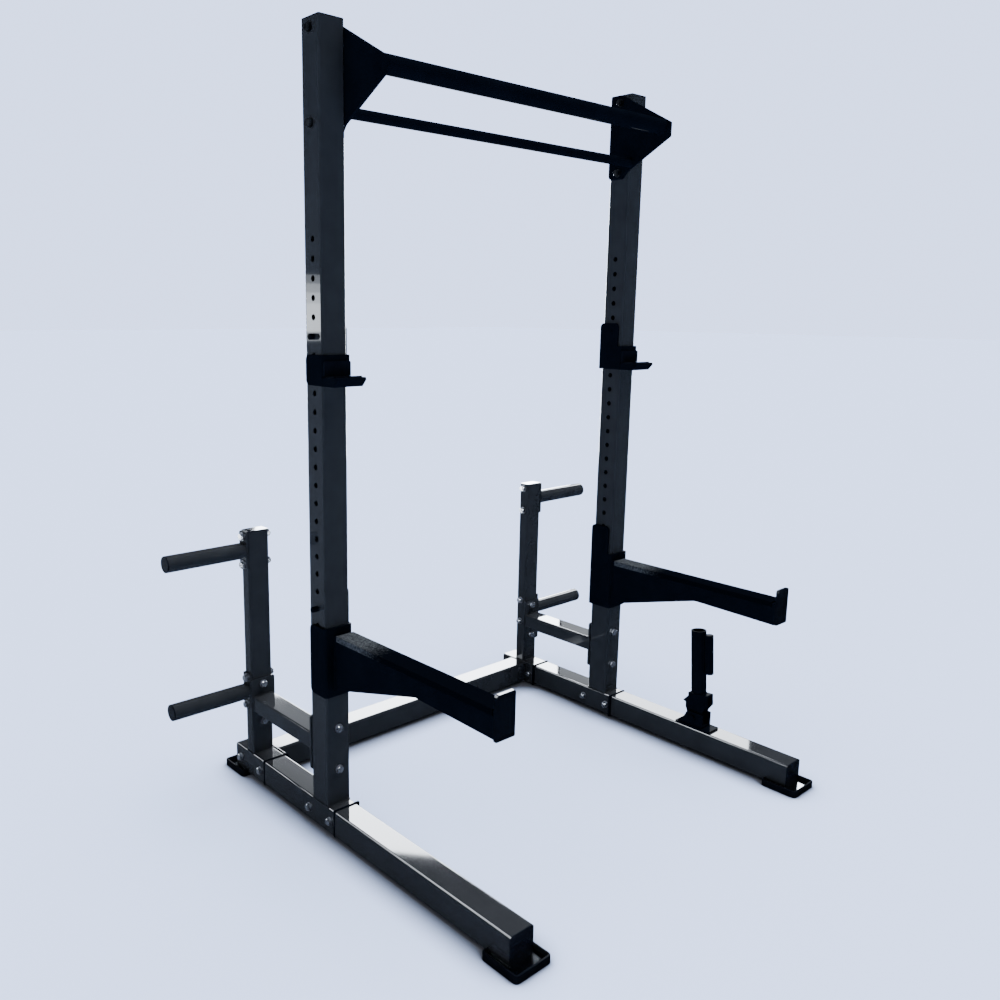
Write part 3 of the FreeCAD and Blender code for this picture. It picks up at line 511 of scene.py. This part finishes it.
METAL_PANELS = (
    ("metal_front", ((-0.5, -4.0), (2.5, -4.0)), -0.2, 0.6, 16.0),
    ("metal_left", ((-3.5, 1.5), (-2.0, 4.0)), 0.0, 1.2, 16.0),
    ("metal_above", ((-2.5, -1.0), (-1.0, -2.5)), 2.2, 3.6, 24.0),
    ("metal_right", ((3.14, 0.9), (2.9, -0.1)), 0.9, 1.9, 9.0),
)

CAMERA_AT = (-1.9405, -1.8149, 1.4239)
CAMERA_YAW = 0.710595
CAMERA_PITCH = -0.186227
CAMERA_ROLL = 0.008192
CAMERA_LENS = 32.925
CAMERA_SENSOR = 36.0
CAMERA_SHIFT = (0.0757, -0.0169)


def make_floor():
    """A pale floor whose colour darkens only close to what stands on it: a painted contact shadow,
    as under a wide soft light.
    """
    mesh = bpy.data.meshes.new("floor")
    corners = [(x * FLOOR_SIZE, y * FLOOR_SIZE, 0) for x, y in ((-1, -1), (1, -1), (1, 1), (-1, 1))]
    mesh.from_pydata(corners, [], [(0, 1, 2, 3)])
    floor = bpy.data.objects.new("floor", mesh)
    scene.collection.objects.link(floor)
    mat, tree, shader = new_material("studio_floor", FLOOR_COLOR, roughness=0.95)
    # Painted contact shadow: ambient occlusion darkens the floor's base colour toward FLOOR_SHADE.
    contact = tree.nodes.new("ShaderNodeAmbientOcclusion")
    contact.samples = 16
    contact.inputs["Distance"].default_value = CONTACT_DISTANCE
    shade = ramp(tree, contact.outputs["AO"], FLOOR_SHADE, FLOOR_COLOR, *CONTACT_EDGE)
    tree.links.new(shade.outputs["Color"], shader.inputs["Base Color"])
    shader.inputs["Specular IOR Level"].default_value = 0.0
    mesh.materials.append(mat)
    floor.visible_glossy = False
    return floor


def only_for(lamp, name, objects):
    """Let a lamp light these objects and nothing else."""
    receivers = bpy.data.collections.new(name)
    for obj in objects:
        receivers.objects.link(obj)
    lamp.light_linking.receiver_collection = receivers


def area_light(name, location, target, width, height, power):
    """A rectangular light of the panels' colour, facing a point."""
    data = bpy.data.lights.new(name, "AREA")
    data.shape = "RECTANGLE"
    data.size = width
    data.size_y = height
    data.energy = power
    data.color = PANEL_COLOR
    lamp = bpy.data.objects.new(name, data)
    lamp.location = location
    direction = Vector(target) - Vector(location)
    lamp.rotation_euler = direction.to_track_quat("-Z", "Y").to_euler()
    scene.collection.objects.link(lamp)
    return lamp


def make_world():
    """The pale backdrop as the camera sees it; every other ray meets a dim room.

    The room is a little lighter at the left and back, where a wall would stand.
    """
    world = bpy.data.worlds.new("studio")
    world.use_nodes = True
    tree = world.node_tree
    backdrop = tree.nodes["Background"]
    backdrop.inputs["Color"].default_value = (*BACKDROP, 1)
    room = tree.nodes.new("ShaderNodeBackground")
    coords = tree.nodes.new("ShaderNodeTexCoord")
    toward = tree.nodes.new("ShaderNodeVectorMath")
    toward.operation = "DOT_PRODUCT"
    toward.inputs[1].default_value = Vector(WALL_TOWARD).normalized()
    tree.links.new(coords.outputs["Generated"], toward.inputs[0])
    shade = ramp(tree, toward.outputs["Value"], ROOM, WALL_LIGHT, *WALL_EDGE)
    tree.links.new(shade.outputs["Color"], room.inputs["Color"])
    path = tree.nodes.new("ShaderNodeLightPath")
    mix = tree.nodes.new("ShaderNodeMixShader")
    tree.links.new(path.outputs["Is Camera Ray"], mix.inputs[0])
    tree.links.new(room.outputs["Background"], mix.inputs[1])
    tree.links.new(backdrop.outputs["Background"], mix.inputs[2])
    tree.links.new(mix.outputs["Shader"], tree.nodes["World Output"].inputs["Surface"])
    scene.world = world


def wide_light(name, energy, toward, angle):
    """A very large, distant, even light that reflections don't show; angle is its width."""
    data = bpy.data.lights.new(name, "SUN")
    data.energy = energy
    data.color = LIGHT_COLOR
    data.angle = math.radians(angle)
    lamp = bpy.data.objects.new(name, data)
    lamp.rotation_euler = Vector(toward).to_track_quat("-Z", "Y").to_euler()
    lamp.visible_glossy = False
    scene.collection.objects.link(lamp)
    return lamp


def softbox(name, corners, low, high, radiance, toward):
    """A soft box seen only in reflections, standing between two plan points, facing toward."""
    (x0, y0), (x1, y1) = corners
    width = math.hypot(x1 - x0, y1 - y0)
    power = radiance * math.pi * width * (high - low)
    middle = Vector(((x0 + x1) / 2, (y0 + y1) / 2, (low + high) / 2))
    along = Vector((x1 - x0, y1 - y0, 0)).normalized()
    front = along.cross(Vector((0, 0, 1)))
    if front.dot(Vector(toward) - middle) < 0:
        front = -front
    lamp = area_light(name, middle, middle + front, width, high - low, power)
    lamp.visible_camera = False
    lamp.visible_diffuse = False
    return lamp


def add_lights(floor):
    """Every light; receivers are named where a light isn't meant for the whole scene."""
    pieces = [obj for obj in scene.objects if obj.type == "MESH" and obj is not floor]
    overhead = wide_light("overhead", 9.6, (-0.38, 0.0, -1.0), angle=48.0)
    only_for(overhead, "the_rack", pieces)
    wide_light("side_fill", 1.5, (1.0, 0.1, -0.08), angle=20.0)
    floor_sky = wide_light("floor_sky", 6.95, (0.0, 0.0, -1.0), angle=120.0)
    floor_sky.data.use_shadow = False
    only_for(floor_sky, "the_floor", [floor])
    floor_sun = wide_light("floor_sun", 2.0, (-0.2, 0.0, -1.0), angle=40.0)
    only_for(floor_sun, "the_floor_too", [floor])
    for name, corners, low, high, radiance in BACK_BOXES:
        softbox(name, corners, low, high, radiance, (0, 0, 1))
    for band, (low, high, radiance) in enumerate(LEFT_BANDS):
        softbox(f"softbox_left_{band}", LEFT_CORNERS, low, high, radiance, LEFT_FACES)
    for name, corners, low, high, radiance, receivers in STRIPS:
        strip = softbox(name, corners, low, high, radiance, (0, 0, 0))
        only_for(strip, f"{name}_only", [nodes[n] for n in receivers])
    for name, corners, low, high, radiance in METAL_PANELS:
        panel = softbox(name, corners, low, high, radiance, (0, 0, 0.5))
        only_for(panel, f"{name}_only", [nodes[n] for n in FASTENERS])


def make_camera():
    """The camera fitted to the photo."""
    data = bpy.data.cameras.new("camera")
    data.lens = CAMERA_LENS
    data.sensor_width = CAMERA_SENSOR
    data.shift_x, data.shift_y = CAMERA_SHIFT
    data.dof.use_dof = False
    camera = bpy.data.objects.new("camera", data)
    forward = Vector((math.sin(CAMERA_YAW) * math.cos(CAMERA_PITCH),
                      math.cos(CAMERA_YAW) * math.cos(CAMERA_PITCH), math.sin(CAMERA_PITCH)))
    level = Vector((math.cos(CAMERA_YAW), -math.sin(CAMERA_YAW), 0))
    above = level.cross(forward)
    right = level * math.cos(CAMERA_ROLL) + above * math.sin(CAMERA_ROLL)
    up = above * math.cos(CAMERA_ROLL) - level * math.sin(CAMERA_ROLL)
    matrix = Matrix((right, up, -forward)).transposed().to_4x4()
    matrix.translation = Vector(CAMERA_AT)
    camera.matrix_world = matrix
    scene.collection.objects.link(camera)
    scene.camera = camera


make_world()
add_lights(make_floor())
make_camera()
